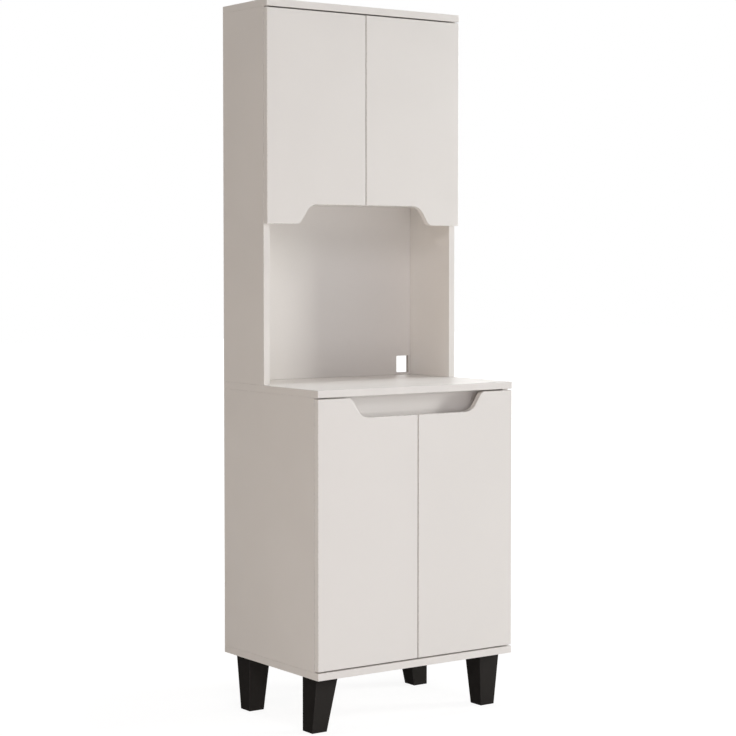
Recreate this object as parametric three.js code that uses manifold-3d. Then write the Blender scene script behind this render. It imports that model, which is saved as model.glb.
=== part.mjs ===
// Tall free-standing microwave cabinet: a deep base cupboard with a countertop, and on it a
// shallower hutch with an open bay for the oven and a closed cupboard above. Each cupboard has
// a pair of doors on concealed hinges, opened by a scoop cut into the doors' edges.
//
// Millimetres, +Z up. The origin is on the floor under the middle of the cabinet. The doors face
// -Y, and left and right are as seen by a person who stands in front of them.

import * as THREE from 'three';
import Module from 'manifold-3d';
import { mergeVertices } from 'three/addons/utils/BufferGeometryUtils.js';

const wasm = await Module();
wasm.setup();

// ---- Driving dimensions ------------------------------------------------------------------

// Carcass
const CABINET_WIDTH = 600; // over the two sides
const CABINET_DEPTH = 435; // base cupboard, over its doors
const HUTCH_DEPTH = 210; // hutch, over its doors
const BASE_INNER_HEIGHT = 665.5; // bottom panel to countertop
const BAY_HEIGHT = 453.5; // countertop to the floor of the upper cupboard
const CUPBOARD_INNER_HEIGHT = 469; // floor of the upper cupboard to the top panel
const BOARD = 18; // sides, bottom, countertop, top and shelves
const BACK_BOARD = 6; // the two back panels
const BACK_RECESS = 12; // from the cabinet's rear to the back panels
const GROOVE_DEPTH = 6; // of the back panels' grooves in the sides

// Doors
const DOOR_BOARD = 16;
const DOOR_BUMPER_GAP = 1; // behind a closed door
const DOOR_END_GAP = 3.5; // above and below a door, where a board faces its edge
const DOOR_SIDE_REVEAL = 0.3; // from a side's outer face to the door's edge
const DOOR_MIDDLE_GAP = 3; // between the two doors of a pair
const UPPER_DOOR_DROP = 51; // how far the upper doors hang below their cupboard's floor

// Finger scoop across each pair of doors
const SCOOP_DEPTH = 49.5;
const SCOOP_HALF_WIDTH = 213; // from the middle of the cabinet to where the edge starts to curve
const SCOOP_SLOPE = THREE.MathUtils.degToRad(58); // steepness of the scoop's two ends
const SCOOP_EDGE_RADIUS = 20; // where the door's edge turns into the scoop
const SCOOP_FLOOR_RADIUS = 40; // where the scoop's end meets its straight part

// Rail behind the scoop of the base doors
const RAIL_BOARD = 18;
const RAIL_HEIGHT = 90;
const RAIL_SETBACK = 42; // from the doors' front to the rail's front

// Cable hole at the foot of the hutch's back panel
const CABLE_HOLE_WIDTH = 40;
const CABLE_HOLE_HEIGHT = 45;
const CABLE_HOLE_FROM_SIDE = 5; // from the right side's inner face
const CABLE_HOLE_ABOVE_COUNTERTOP = 6;

// Legs
const LEG_HEIGHT = 140;
const LEG_TOP_WIDTH = 63;
const LEG_FOOT_WIDTH = 43;
const LEG_SIDE_INSET = 16.5; // from the cabinet's side to the leg
const LEG_FRONT_INSET = 30.5; // from the doors' front to a front leg
const LEG_REAR_INSET = 32.5; // from the cabinet's rear to a back leg
const LEG_BOLT_RADIUS = 4;
const LEG_BOLT_IN_LEG = 40;
const LEG_BOLT_IN_PANEL = 14;

// Loose shelves and their pins
const SHELF_SIDE_CLEARANCE = 1;
const SHELF_REAR_CLEARANCE = 2;
const SHELF_FRONT_SETBACK = 20; // from the sides' front edges to the shelf
const BASE_SHELF_HEIGHT = 323; // bottom panel to the shelf's underside
const CUPBOARD_SHELF_HEIGHT = 225; // cupboard floor to the shelf's underside
const PIN_RADIUS = 2.5;
const PIN_DEPTH = 9; // in the side
const PIN_HOLE_DEPTH = 11;
const PIN_COLUMN_INSET = 37; // from a side's front edge, and from the back panel
const PIN_PITCH = 32; // between the holes that a shelf can be moved to
const PIN_SPARE_HOLES = 1; // above and below the pin in use
const PIN_TAB_LENGTH = 12;
const PIN_TAB_WIDTH = 8;
const PIN_TAB_THICKNESS = 2;
const PIN_PLATE_HEIGHT = 14;
const PIN_PLATE_THICKNESS = 1.6;

// Concealed hinges
const HINGE_INSET = 120; // from a door's end to the hinge's middle
const CUP_RADIUS = 17.2;
const CUP_WALL = 1.2;
const CUP_DEPTH = 11.8;
const CUP_EDGE_DISTANCE = 4.5; // door's edge to the bore for the cup
const CUP_FLANGE_THICKNESS = 1;
const CUP_FLANGE_HALF_LENGTH = 32;
const CUP_FLANGE_FRONT = 2.5; // the flange's two long edges, from the middle of the cup
const CUP_FLANGE_REAR = 18;
const CUP_PIN_FROM_EDGE = 10.5; // door's edge to the pin in the cup
const CUP_PIN_DEPTH = 2; // door's back face to the pin in the cup
const ARM_PIN_STANDOFF = 18.3; // side's inner face to the pin in the arm
const ARM_PIN_SETBACK = 5; // side's front edge to the pin in the arm
const HINGE_PIN_RADIUS = 1.3;
const LINK_WIDTH = 9;
const LINK_HALF_THICKNESS = 1.3;
const LINK_EYE_RADIUS = 2.7;
const LINK_KNEE_BACK = 8; // the link's knee, from the pin in the arm towards the door's edge
const LINK_KNEE_FORWARD = 13; // and towards the door's front
const ARM_TIP_RADIUS = 3.2;
const ARM_CHEEK = 1.5;
const ARM_LENGTH = 56; // from the pin in the arm to the arm's rear end
const ARM_DEPTH = 14.2; // across the arm's cheeks, away from the side
const ARM_SHOULDER = 9; // from the pin in the arm to where the cheeks have their full depth
const PLATE_SETBACK = 37; // side's front edge to the plate's middle
const PLATE_THICKNESS = 2.5;
const PLATE_WIDTH = 18;
const PLATE_HALF_LENGTH = 24;
const PLATE_BLOCK_LENGTH = 30;
const PLATE_BLOCK_HEIGHT = 12;

// Clearances
const FITTING_CLEARANCE = 0.3; // round a pin, bolt or cup in its hole
const CHEEK_CLEARANCE = 0.5; // between the link and each cheek of the arm

// Facets of round pieces
const PIN_SIDES = 12;
const CUP_SIDES = 28;
const SCOOP_ARC_STEPS = 8;

// ---- Sizes that follow from them ---------------------------------------------------------

const HALF_WIDTH = CABINET_WIDTH / 2;
const INNER_HALF_WIDTH = HALF_WIDTH - BOARD;
const BASE_FRONT = -CABINET_DEPTH / 2; // front plane of the base doors
const REAR = CABINET_DEPTH / 2;
const HUTCH_FRONT = REAR - HUTCH_DEPTH; // front plane of the upper doors
const SIDE_SETBACK = DOOR_BOARD + DOOR_BUMPER_GAP; // doors' front to the sides' front edges
const BACK_PANEL_REAR = REAR - BACK_RECESS;
const BACK_PANEL_FRONT = BACK_PANEL_REAR - BACK_BOARD;

const BOTTOM_TOP = LEG_HEIGHT + BOARD;
const COUNTERTOP_UNDERSIDE = BOTTOM_TOP + BASE_INNER_HEIGHT;
const COUNTERTOP_TOP = COUNTERTOP_UNDERSIDE + BOARD;
const CUPBOARD_UNDERSIDE = COUNTERTOP_TOP + BAY_HEIGHT;
const CUPBOARD_FLOOR = CUPBOARD_UNDERSIDE + BOARD;
const TOP_UNDERSIDE = CUPBOARD_FLOOR + CUPBOARD_INNER_HEIGHT;

// Pins of a hinge in plan: x from the side's outer face, y from the doors' front plane
const CUP_CENTRE_X = DOOR_SIDE_REVEAL + CUP_EDGE_DISTANCE + CUP_RADIUS + FITTING_CLEARANCE;
const CUP_PIN = new THREE.Vector2(DOOR_SIDE_REVEAL + CUP_PIN_FROM_EDGE, DOOR_BOARD - CUP_PIN_DEPTH);
const ARM_PIN = new THREE.Vector2(BOARD + ARM_PIN_STANDOFF, SIDE_SETBACK + ARM_PIN_SETBACK);
const CUP_INNER_RADIUS = CUP_RADIUS - CUP_WALL;
const ARM_INNER_WIDTH = LINK_WIDTH + 2 * CHEEK_CLEARANCE;
const ARM_WIDTH = ARM_INNER_WIDTH + 2 * ARM_CHEEK;

// ---- Materials ---------------------------------------------------------------------------

/** White melamine of the carcass boards. */
function boardWhite() {
  return new THREE.MeshStandardMaterial({ color: 0xe2dfd9, roughness: 0.5, metalness: 0 });
}

/** White of the doors, a little smoother than the carcass. */
function doorWhite() {
  return new THREE.MeshStandardMaterial({ color: 0xe8e5df, roughness: 0.42, metalness: 0 });
}

/** Black moulded plastic of the legs. */
function legBlack() {
  return new THREE.MeshStandardMaterial({ color: 0x1b1b1c, roughness: 0.55, metalness: 0 });
}

/** Nickel-plated steel of the hinges. */
function hingeSteel() {
  return new THREE.MeshStandardMaterial({ color: 0xb9b8b4, roughness: 0.3, metalness: 0.95 });
}

/** Zinc-plated steel of the shelf pins and the leg bolts. */
function zincSteel() {
  return new THREE.MeshStandardMaterial({ color: 0xa7a9ab, roughness: 0.4, metalness: 0.9 });
}

// ---- Solids ------------------------------------------------------------------------------

/** Turns a closed geometry into a solid that can be cut and joined. */
function solidOf(geometry) {
  const bare = geometry.clone();
  bare.deleteAttribute('normal');
  bare.deleteAttribute('uv');
  const merged = mergeVertices(bare, 1e-4);
  const vertProperties = new Float32Array(merged.getAttribute('position').array);
  const triVerts = new Uint32Array(merged.getIndex().array);
  return new wasm.Manifold(new wasm.Mesh({ numProp: 3, vertProperties, triVerts }));
}

/** Turns a solid back into a geometry with flat faces. */
function geometryOf(solid) {
  const mesh = solid.getMesh();
  const indexed = new THREE.BufferGeometry();
  indexed.setAttribute('position', new THREE.BufferAttribute(new Float32Array(mesh.vertProperties), 3));
  indexed.setIndex(new THREE.BufferAttribute(new Uint32Array(mesh.triVerts), 1));
  const flat = indexed.toNonIndexed();
  flat.computeVertexNormals();
  return flat;
}

/** Joins overlapping pieces into one geometry. */
function join(geometries) {
  const solids = geometries.map(solidOf);
  return geometryOf(solids.reduce((whole, solid) => whole.add(solid)));
}

/** Cuts the given pieces out of a geometry. */
function cut(geometry, cutters) {
  const solids = cutters.map(solidOf);
  return geometryOf(solids.reduce((rest, cutter) => rest.subtract(cutter), solidOf(geometry)));
}

/** A box between two values on each axis. */
function boxBetween(x, y, z) {
  const box = new THREE.BoxGeometry(x[1] - x[0], y[1] - y[0], z[1] - z[0]);
  return box.translate((x[0] + x[1]) / 2, (y[0] + y[1]) / 2, (z[0] + z[1]) / 2);
}

/** A round bar along Z, its middle at the given point. */
function barAlongZ(radius, length, x, y, z = 0) {
  const bar = new THREE.CylinderGeometry(radius, radius, length, PIN_SIDES);
  return bar.rotateX(Math.PI / 2).translate(x, y, z);
}

/** A round bar along X between two values of x. */
function barAlongX(radius, x, y, z) {
  const bar = new THREE.CylinderGeometry(radius, radius, x[1] - x[0], PIN_SIDES);
  return bar.rotateZ(Math.PI / 2).translate((x[0] + x[1]) / 2, y, z);
}

/** A flat shape, drawn in x and z, made thick from y = 0 to y = thickness. */
function extrudeAlongY(shape, thickness, curveSegments = 1) {
  const settings = { depth: thickness, bevelEnabled: false, curveSegments };
  return new THREE.ExtrudeGeometry(shape, settings).rotateX(Math.PI / 2).translate(0, thickness, 0);
}

/** A flat shape, drawn in x and y, made thick round z = 0. */
function extrudeAlongZ(shape, thickness, curveSegments = PIN_SIDES / 2) {
  const settings = { depth: thickness, bevelEnabled: false, curveSegments };
  return new THREE.ExtrudeGeometry(shape, settings).translate(0, 0, -thickness / 2);
}

/** A named mesh whose geometry is moved to its own middle and placed by its position. */
function piece(name, geometry, material) {
  geometry.computeBoundingBox();
  const middle = geometry.boundingBox.getCenter(new THREE.Vector3());
  geometry.translate(-middle.x, -middle.y, -middle.z);
  const mesh = new THREE.Mesh(geometry, material);
  mesh.name = name;
  mesh.position.copy(middle);
  return mesh;
}

/** A board between two values on each axis, with any holes cut out of it. */
function board(name, x, y, z, cutters = []) {
  const whole = boxBetween(x, y, z);
  return piece(name, cutters.length > 0 ? cut(whole, cutters) : whole, boardWhite());
}

// ---- Carcass -----------------------------------------------------------------------------

/** Where one loose shelf stands: its front and rear pin columns and its underside. */
function shelfPlace(frontEdge, underside) {
  return {
    frontEdge: frontEdge + SHELF_FRONT_SETBACK,
    columns: [frontEdge + PIN_COLUMN_INSET, BACK_PANEL_FRONT - PIN_COLUMN_INSET],
    underside,
  };
}

const BASE_SHELF = shelfPlace(BASE_FRONT + SIDE_SETBACK, BOTTOM_TOP + BASE_SHELF_HEIGHT);
const CUPBOARD_SHELF = shelfPlace(HUTCH_FRONT + SIDE_SETBACK, CUPBOARD_FLOOR + CUPBOARD_SHELF_HEIGHT);

/** Height of the pins' axes under a shelf. */
function pinAxisHeight(shelf) {
  return shelf.underside - PIN_TAB_THICKNESS - PIN_RADIUS;
}

/** The blind holes for one shelf's pins in one side; hand is -1 for the left side. */
function pinHoles(shelf, hand) {
  const holes = [];
  const ends = [INNER_HALF_WIDTH - BOARD / 4, INNER_HALF_WIDTH + PIN_HOLE_DEPTH];
  const x = hand < 0 ? [-ends[1], -ends[0]] : ends;
  for (const column of shelf.columns) {
    for (let step = -PIN_SPARE_HOLES; step <= PIN_SPARE_HOLES; step += 1) {
      const z = pinAxisHeight(shelf) + step * PIN_PITCH;
      holes.push(barAlongX(PIN_RADIUS + FITTING_CLEARANCE, x, column, z));
    }
  }
  return holes;
}

/** The groove along a side's whole height that its back panel slides into. */
function backGroove(hand, z) {
  const ends = [INNER_HALF_WIDTH - BOARD, INNER_HALF_WIDTH + GROOVE_DEPTH];
  const x = hand < 0 ? [-ends[1], -ends[0]] : ends;
  const y = [BACK_PANEL_FRONT - FITTING_CLEARANCE, BACK_PANEL_REAR + FITTING_CLEARANCE];
  return boxBetween(x, y, [z[0] - BOARD, z[1] + BOARD]);
}

/** An upright side board; hand is -1 for the left side. */
function sideBoard(name, hand, frontEdge, z, shelf) {
  const x = hand < 0 ? [-HALF_WIDTH, -INNER_HALF_WIDTH] : [INNER_HALF_WIDTH, HALF_WIDTH];
  return board(name, x, [frontEdge, REAR], z, [...pinHoles(shelf, hand), backGroove(hand, z)]);
}

/** A thin back panel whose two upright edges sit in the sides' grooves. */
function backPanel(name, z, cutters = []) {
  const half = INNER_HALF_WIDTH + GROOVE_DEPTH - FITTING_CLEARANCE;
  return board(name, [-half, half], [BACK_PANEL_FRONT, BACK_PANEL_REAR], z, cutters);
}

/** A board across the inside, from side to side. */
function innerBoard(name, y, z) {
  return board(name, [-INNER_HALF_WIDTH, INNER_HALF_WIDTH], y, z);
}

/** A board over the full width, on top of or under the sides. */
function wideBoard(name, front, underside, cutters = []) {
  return board(name, [-HALF_WIDTH, HALF_WIDTH], [front, REAR], [underside, underside + BOARD], cutters);
}

/** A loose shelf on its pins. */
function looseShelf(name, shelf) {
  const half = INNER_HALF_WIDTH - SHELF_SIDE_CLEARANCE;
  const y = [shelf.frontEdge, BACK_PANEL_FRONT - SHELF_REAR_CLEARANCE];
  return board(name, [-half, half], y, [shelf.underside, shelf.underside + BOARD]);
}

/** The base cupboard's boards, from the bottom panel to the countertop. */
function baseCarcass() {
  const group = new THREE.Group();
  const sideFront = BASE_FRONT + SIDE_SETBACK;
  const z = [BOTTOM_TOP, COUNTERTOP_UNDERSIDE];
  const railFront = BASE_FRONT + RAIL_SETBACK;
  group.add(wideBoard('base_bottom_panel', BASE_FRONT, LEG_HEIGHT, legPlaces().map(legBoltHoleInPanel)));
  group.add(sideBoard('base_left_side', -1, sideFront, z, BASE_SHELF));
  group.add(sideBoard('base_right_side', 1, sideFront, z, BASE_SHELF));
  group.add(backPanel('base_back_panel', z));
  group.add(innerBoard('base_front_rail', [railFront, railFront + RAIL_BOARD], [z[1] - RAIL_HEIGHT, z[1]]));
  group.add(looseShelf('base_shelf', BASE_SHELF));
  group.add(wideBoard('countertop', BASE_FRONT, COUNTERTOP_UNDERSIDE));
  return group;
}

/** The rectangular hole that lets the oven's cable out of the bay. */
function cableHole() {
  const right = INNER_HALF_WIDTH - CABLE_HOLE_FROM_SIDE;
  const lower = COUNTERTOP_TOP + CABLE_HOLE_ABOVE_COUNTERTOP;
  const y = [BACK_PANEL_FRONT - BACK_BOARD, BACK_PANEL_REAR + BACK_BOARD];
  return boxBetween([right - CABLE_HOLE_WIDTH, right], y, [lower, lower + CABLE_HOLE_HEIGHT]);
}

/** The hutch's boards, from the countertop to the top panel. */
function hutchCarcass() {
  const group = new THREE.Group();
  const sideFront = HUTCH_FRONT + SIDE_SETBACK;
  const z = [COUNTERTOP_TOP, TOP_UNDERSIDE];
  const floorZ = [CUPBOARD_UNDERSIDE, CUPBOARD_FLOOR];
  group.add(sideBoard('hutch_left_side', -1, sideFront, z, CUPBOARD_SHELF));
  group.add(sideBoard('hutch_right_side', 1, sideFront, z, CUPBOARD_SHELF));
  group.add(backPanel('hutch_back_panel', z, [cableHole()]));
  group.add(innerBoard('cupboard_floor', [sideFront, BACK_PANEL_FRONT], floorZ));
  group.add(looseShelf('cupboard_shelf', CUPBOARD_SHELF));
  group.add(wideBoard('top_panel', HUTCH_FRONT, TOP_UNDERSIDE));
  return group;
}

// ---- Shelf pins --------------------------------------------------------------------------

/** A pin with a flat plate against the side and a tab under the shelf; the side is at x = 0. */
function shelfPinGeometry() {
  const halfWidth = PIN_TAB_WIDTH / 2;
  const tabTop = PIN_RADIUS + PIN_TAB_THICKNESS;
  const y = [-halfWidth, halfWidth];
  const plate = boxBetween([0, PIN_PLATE_THICKNESS], y, [tabTop - PIN_PLATE_HEIGHT, tabTop]);
  const tab = boxBetween([0, PIN_TAB_LENGTH], y, [PIN_RADIUS, tabTop]);
  const shank = barAlongX(PIN_RADIUS, [-PIN_DEPTH, PIN_PLATE_THICKNESS / 2], 0, 0);
  return join([shank, plate, tab]);
}

/** The four pins of one shelf. */
function shelfPins(shelfName, shelf) {
  const group = new THREE.Group();
  for (const [side, hand] of [['left', -1], ['right', 1]]) {
    shelf.columns.forEach((column, index) => {
      const pin = new THREE.Mesh(shelfPinGeometry(), zincSteel());
      pin.name = `${shelfName}_pin_${index === 0 ? 'front' : 'rear'}_${side}`;
      pin.position.set(hand * INNER_HALF_WIDTH, column, pinAxisHeight(shelf));
      pin.rotation.z = hand < 0 ? 0 : Math.PI;
      group.add(pin);
    });
  }
  return group;
}

// ---- Legs --------------------------------------------------------------------------------

/** Middle of each leg's top, with the turn that puts its two upright faces outwards and inwards. */
function legPlaces() {
  const x = HALF_WIDTH - LEG_SIDE_INSET - LEG_TOP_WIDTH / 2;
  const front = BASE_FRONT + LEG_FRONT_INSET + LEG_TOP_WIDTH / 2;
  const rear = REAR - LEG_REAR_INSET - LEG_TOP_WIDTH / 2;
  return [
    { name: 'front_left', x: -x, y: front, turn: 0 },
    { name: 'front_right', x, y: front, turn: -Math.PI / 2 },
    { name: 'back_right', x, y: rear, turn: Math.PI },
    { name: 'back_left', x: -x, y: rear, turn: Math.PI / 2 },
  ];
}

/** The blind hole for a leg's bolt in the bottom panel. */
function legBoltHoleInPanel(place) {
  const length = LEG_BOLT_IN_PANEL + FITTING_CLEARANCE;
  const radius = LEG_BOLT_RADIUS + FITTING_CLEARANCE;
  return barAlongZ(radius, 2 * length, place.x, place.y, LEG_HEIGHT);
}

/** A square leg whose front and inner faces taper; its other two faces stay upright. */
function legGeometry() {
  const leg = new THREE.BoxGeometry(LEG_TOP_WIDTH, LEG_TOP_WIDTH, LEG_HEIGHT);
  const position = leg.getAttribute('position');
  const taper = LEG_TOP_WIDTH - LEG_FOOT_WIDTH;
  for (let i = 0; i < position.count; i += 1) {
    if (position.getZ(i) < 0 && position.getX(i) > 0) {
      position.setX(i, position.getX(i) - taper);
    }
    if (position.getZ(i) < 0 && position.getY(i) < 0) {
      position.setY(i, position.getY(i) + taper);
    }
  }
  leg.translate(0, 0, LEG_HEIGHT / 2);
  const holeDepth = LEG_BOLT_IN_LEG + FITTING_CLEARANCE;
  const hole = barAlongZ(LEG_BOLT_RADIUS + FITTING_CLEARANCE, 2 * holeDepth, 0, 0, LEG_HEIGHT);
  return cut(leg, [hole]);
}

/** The four legs, each with the bolt that holds it to the bottom panel. */
function legs() {
  const group = new THREE.Group();
  const boltLength = LEG_BOLT_IN_LEG + LEG_BOLT_IN_PANEL;
  const boltMiddle = LEG_HEIGHT + (LEG_BOLT_IN_PANEL - LEG_BOLT_IN_LEG) / 2;
  for (const place of legPlaces()) {
    const leg = new THREE.Mesh(legGeometry(), legBlack());
    leg.name = `${place.name}_leg`;
    leg.position.set(place.x, place.y, 0);
    leg.rotation.z = place.turn;
    const bolt = new THREE.Mesh(barAlongZ(LEG_BOLT_RADIUS, boltLength, 0, 0), zincSteel());
    bolt.name = `${place.name}_leg_bolt`;
    bolt.position.set(place.x, place.y, boltMiddle);
    group.add(leg, bolt);
  }
  return group;
}

// ---- Hinges ------------------------------------------------------------------------------
// Each hinge is drawn for a left-hand door, in plan: x from the side's outer face, y back from
// the doors' front plane, and z from the hinge's middle. A right-hand hinge is the same one
// turned over.

/** The round cup in the door, with its flange and the pin that the link turns on. */
function hingeCupGeometry() {
  const profile = [
    new THREE.Vector2(0, 0),
    new THREE.Vector2(CUP_RADIUS, 0),
    new THREE.Vector2(CUP_RADIUS, CUP_DEPTH),
    new THREE.Vector2(CUP_INNER_RADIUS, CUP_DEPTH),
    new THREE.Vector2(CUP_INNER_RADIUS, CUP_WALL),
    new THREE.Vector2(0, CUP_WALL),
  ];
  const bowl = new THREE.LatheGeometry(profile, CUP_SIDES);
  bowl.translate(CUP_CENTRE_X, DOOR_BOARD - CUP_DEPTH, 0);
  const flangeX = [CUP_CENTRE_X - CUP_FLANGE_FRONT, CUP_CENTRE_X + CUP_FLANGE_REAR];
  const flangeY = [DOOR_BOARD, DOOR_BOARD + CUP_FLANGE_THICKNESS];
  const plate = boxBetween(flangeX, flangeY, [-CUP_FLANGE_HALF_LENGTH, CUP_FLANGE_HALF_LENGTH]);
  const mouth = new THREE.CylinderGeometry(CUP_INNER_RADIUS, CUP_INNER_RADIUS, DOOR_BOARD, CUP_SIDES);
  mouth.translate(CUP_CENTRE_X, DOOR_BOARD, 0);
  const pinReach = Math.sqrt(CUP_INNER_RADIUS ** 2 - (CUP_CENTRE_X - CUP_PIN.x) ** 2) + CUP_WALL / 2;
  const pin = barAlongZ(HINGE_PIN_RADIUS, 2 * pinReach, CUP_PIN.x, CUP_PIN.y);
  return join([bowl, cut(plate, [mouth]), pin]);
}

/** One straight stretch of the link, between two points in plan. */
function linkStretch(from, to) {
  const length = from.distanceTo(to);
  const stretch = new THREE.BoxGeometry(length, 2 * LINK_HALF_THICKNESS, LINK_WIDTH);
  stretch.rotateZ(Math.atan2(to.y - from.y, to.x - from.x));
  return stretch.translate((from.x + to.x) / 2, (from.y + to.y) / 2, 0);
}

/** The cranked link that joins the pin in the arm to the pin in the cup. */
function hingeLinkGeometry() {
  const knee = new THREE.Vector2(ARM_PIN.x - LINK_KNEE_BACK, ARM_PIN.y - LINK_KNEE_FORWARD);
  const whole = join([
    barAlongZ(LINK_EYE_RADIUS, LINK_WIDTH, ARM_PIN.x, ARM_PIN.y),
    linkStretch(ARM_PIN, knee),
    barAlongZ(LINK_HALF_THICKNESS, LINK_WIDTH, knee.x, knee.y),
    linkStretch(knee, CUP_PIN),
    barAlongZ(LINK_EYE_RADIUS, LINK_WIDTH, CUP_PIN.x, CUP_PIN.y),
  ]);
  const boreRadius = HINGE_PIN_RADIUS + FITTING_CLEARANCE;
  return cut(whole, [
    barAlongZ(boreRadius, 2 * LINK_WIDTH, ARM_PIN.x, ARM_PIN.y),
    barAlongZ(boreRadius, 2 * LINK_WIDTH, CUP_PIN.x, CUP_PIN.y),
  ]);
}

/** The outline of the arm's two cheeks in plan, round at the pin. */
function armOutline() {
  const high = ARM_PIN.x + ARM_TIP_RADIUS;
  const low = high - ARM_DEPTH;
  const end = ARM_PIN.y + ARM_LENGTH;
  const outline = new THREE.Shape();
  outline.moveTo(ARM_PIN.x - ARM_TIP_RADIUS, ARM_PIN.y);
  outline.absarc(ARM_PIN.x, ARM_PIN.y, ARM_TIP_RADIUS, Math.PI, 2 * Math.PI, false);
  outline.lineTo(high, end);
  outline.lineTo(low, end);
  outline.lineTo(low, ARM_PIN.y + ARM_SHOULDER);
  return outline;
}

/** The arm with its mounting plate, which is screwed to the side's inner face. */
function hingeArmGeometry() {
  const channel = extrudeAlongZ(armOutline(), ARM_WIDTH);
  const high = ARM_PIN.x + ARM_TIP_RADIUS;
  const hollowX = [high - 2 * ARM_DEPTH, high - ARM_CHEEK];
  const behindLink = ARM_PIN.y + LINK_EYE_RADIUS + CHEEK_CLEARANCE;
  const halfHollow = ARM_INNER_WIDTH / 2;
  const hollow = boxBetween(hollowX, [0, ARM_PIN.y + 2 * ARM_LENGTH], [-halfHollow, halfHollow]);
  const mouth = boxBetween([0, 2 * high], [0, behindLink], [-halfHollow, halfHollow]);
  const plateY = SIDE_SETBACK + PLATE_SETBACK;
  const wingX = [BOARD, BOARD + PLATE_THICKNESS];
  const wingY = [plateY - PLATE_WIDTH / 2, plateY + PLATE_WIDTH / 2];
  const blockX = [BOARD, BOARD + PLATE_BLOCK_HEIGHT];
  const blockY = [plateY - PLATE_BLOCK_LENGTH / 2, plateY + PLATE_BLOCK_LENGTH / 2];
  return join([
    cut(channel, [hollow, mouth]),
    barAlongZ(HINGE_PIN_RADIUS, ARM_INNER_WIDTH + ARM_CHEEK, ARM_PIN.x, ARM_PIN.y),
    boxBetween(wingX, wingY, [-PLATE_HALF_LENGTH, PLATE_HALF_LENGTH]),
    boxBetween(blockX, blockY, [-ARM_WIDTH / 2, ARM_WIDTH / 2]),
  ]);
}

/** One hinge as its three pieces, placed at the given height for one door. */
function hinge(name, door, height) {
  const group = new THREE.Group();
  const makers = [
    ['cup', hingeCupGeometry],
    ['link', hingeLinkGeometry],
    ['arm', hingeArmGeometry],
  ];
  for (const [part, make] of makers) {
    const mesh = new THREE.Mesh(make(), hingeSteel());
    mesh.name = `${name}_${part}`;
    group.add(mesh);
  }
  group.position.set(door.hand * HALF_WIDTH, door.front, height);
  group.rotation.y = door.hand < 0 ? 0 : Math.PI;
  return group;
}

// ---- Doors -------------------------------------------------------------------------------

const SCOOP_AT_TOP = 'top';
const SCOOP_AT_BOTTOM = 'bottom';

/** Everything that sets one door's size and place; hand is -1 for a left-hand door. */
function doorSpec(name, hand, front, lower, upper, scoop) {
  const hingeHeights = { bottom: lower + HINGE_INSET, top: upper - HINGE_INSET };
  return { name, hand, front, lower, upper, scoop, hingeHeights };
}

/** The four doors. */
function doorSpecs() {
  const baseLower = BOTTOM_TOP + DOOR_END_GAP;
  const baseUpper = COUNTERTOP_UNDERSIDE - DOOR_END_GAP;
  const upperLower = CUPBOARD_UNDERSIDE - UPPER_DOOR_DROP;
  const upperUpper = TOP_UNDERSIDE - DOOR_END_GAP;
  return [
    doorSpec('lower_left_door', -1, BASE_FRONT, baseLower, baseUpper, SCOOP_AT_TOP),
    doorSpec('lower_right_door', 1, BASE_FRONT, baseLower, baseUpper, SCOOP_AT_TOP),
    doorSpec('upper_left_door', -1, HUTCH_FRONT, upperLower, upperUpper, SCOOP_AT_BOTTOM),
    doorSpec('upper_right_door', 1, HUTCH_FRONT, upperLower, upperUpper, SCOOP_AT_BOTTOM),
  ];
}

/**
 * A door's outline: x from the middle of the cabinet outwards, y up from the door's plain end.
 * The scoop is in the upper edge, on the side of the middle.
 */
function doorOutline(height) {
  const inner = DOOR_MIDDLE_GAP / 2;
  const outer = HALF_WIDTH - DOOR_SIDE_REVEAL;
  const curveRise = (SCOOP_EDGE_RADIUS + SCOOP_FLOOR_RADIUS) * (1 - Math.cos(SCOOP_SLOPE));
  const slopeRun = (SCOOP_DEPTH - curveRise) / Math.tan(SCOOP_SLOPE);
  const curveRun = (SCOOP_EDGE_RADIUS + SCOOP_FLOOR_RADIUS) * Math.sin(SCOOP_SLOPE);
  const edgeCentre = new THREE.Vector2(SCOOP_HALF_WIDTH, height - SCOOP_EDGE_RADIUS);
  const floorX = SCOOP_HALF_WIDTH - curveRun - slopeRun;
  const floorCentre = new THREE.Vector2(floorX, height - SCOOP_DEPTH + SCOOP_FLOOR_RADIUS);
  const up = Math.PI / 2;
  const outline = new THREE.Shape();
  outline.moveTo(inner, 0);
  outline.lineTo(outer, 0);
  outline.lineTo(outer, height);
  outline.lineTo(edgeCentre.x, height);
  outline.absarc(edgeCentre.x, edgeCentre.y, SCOOP_EDGE_RADIUS, up, up + SCOOP_SLOPE, false);
  outline.absarc(floorCentre.x, floorCentre.y, SCOOP_FLOOR_RADIUS, SCOOP_SLOPE - up, -up, true);
  outline.lineTo(inner, height - SCOOP_DEPTH);
  return outline;
}

/** The bores in a door's back face for its hinge cups. */
function cupBores(door) {
  const x = door.hand * (HALF_WIDTH - CUP_CENTRE_X);
  const radius = CUP_RADIUS + FITTING_CLEARANCE;
  return Object.values(door.hingeHeights).map((height) => {
    const depth = CUP_DEPTH + FITTING_CLEARANCE;
    const bore = new THREE.CylinderGeometry(radius, radius, 2 * depth, CUP_SIDES);
    return bore.translate(x, door.front + DOOR_BOARD, height);
  });
}

/** One door: a flat board with its scoop and its two bores. */
function doorBoard(door) {
  const drawn = doorOutline(door.upper - door.lower).getPoints(SCOOP_ARC_STEPS);
  const plainEnd = door.scoop === SCOOP_AT_TOP ? door.lower : door.upper;
  const upwards = door.scoop === SCOOP_AT_TOP ? 1 : -1;
  const placed = drawn.map((point) => new THREE.Vector2(door.hand * point.x, plainEnd + upwards * point.y));
  const whole = extrudeAlongY(new THREE.Shape(placed), DOOR_BOARD).translate(0, door.front, 0);
  return piece(door.name, cut(whole, cupBores(door)), doorWhite());
}

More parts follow.
